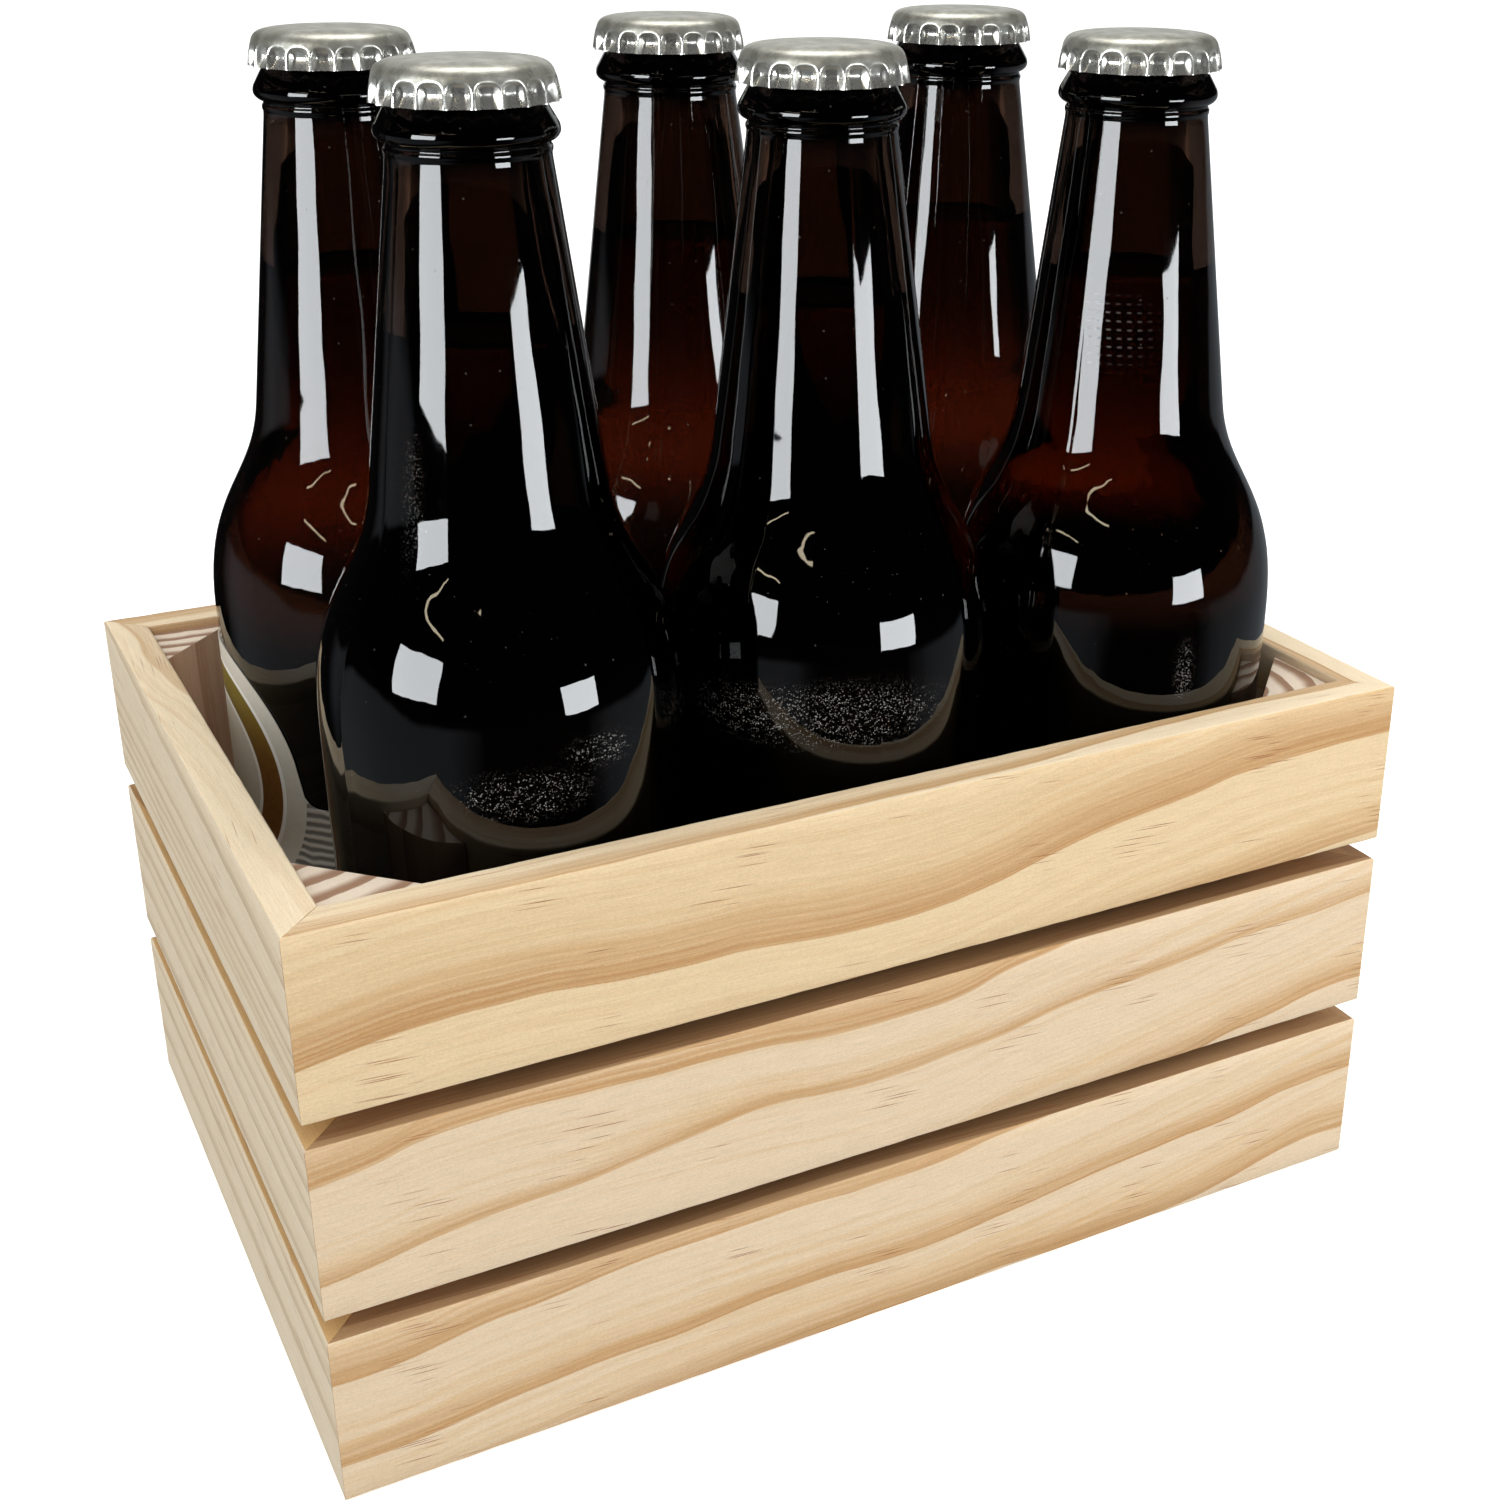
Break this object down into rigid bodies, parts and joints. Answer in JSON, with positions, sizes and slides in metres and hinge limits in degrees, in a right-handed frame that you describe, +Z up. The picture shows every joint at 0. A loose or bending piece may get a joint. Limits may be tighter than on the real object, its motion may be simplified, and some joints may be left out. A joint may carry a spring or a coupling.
{
  "type": "wooden beer crate with bottles",
  "caption": "Small pine crate of mitred slats with triangular corner posts, filled with capped brown glass bottles of dark beer with long tapering necks and round shoulders.",
  "frame": {"origin": "middle of the crate's base, on the surface it stands on", "axes": "+Z up along the bottles, -Y out of the crate's long front, +X to the right when that front is looked at"},
  "size_m": [0.211, 0.1474, 0.2227],
  "materials": {
    "pine": "planed, unvarnished, matt",
    "brown_glass": "glossy, dark brown",
    "dark_beer": "clear dark brown liquid",
    "tinplate": "satin silver",
    "label_paper": "coated, with a gold ring"
  },
  "bodies": {
    "root": {"slat_front_bottom": "pine", "slat_front_middle": "pine", "slat_front_top": "pine", "slat_right_bottom": "pine", "slat_right_middle": "pine", "slat_right_top": "pine", "slat_back_bottom": "pine", "slat_back_middle": "pine", "slat_back_top": "pine", "slat_left_bottom": "pine", "slat_left_middle": "pine", "slat_left_top": "pine", "post_front_left": "pine", "post_front_right": "pine", "post_back_left": "pine", "post_back_right": "pine", "floor_panel": "pine", "bottle_back_left": "brown_glass", "bottle_front_left": "brown_glass", "bottle_back_middle": "brown_glass", "bottle_front_middle": "brown_glass", "bottle_back_right": "brown_glass", "bottle_front_right": "brown_glass", "beer_back_left": "dark_beer", "beer_front_left": "dark_beer", "beer_back_middle": "dark_beer", "beer_front_middle": "dark_beer", "beer_back_right": "dark_beer", "beer_front_right": "dark_beer", "cap_back_left": "tinplate", "cap_front_left": "tinplate", "cap_back_middle": "tinplate", "cap_front_middle": "tinplate", "cap_back_right": "tinplate", "cap_front_right": "tinplate", "label_back_left": "label_paper"}
  },
  "joints": []
}
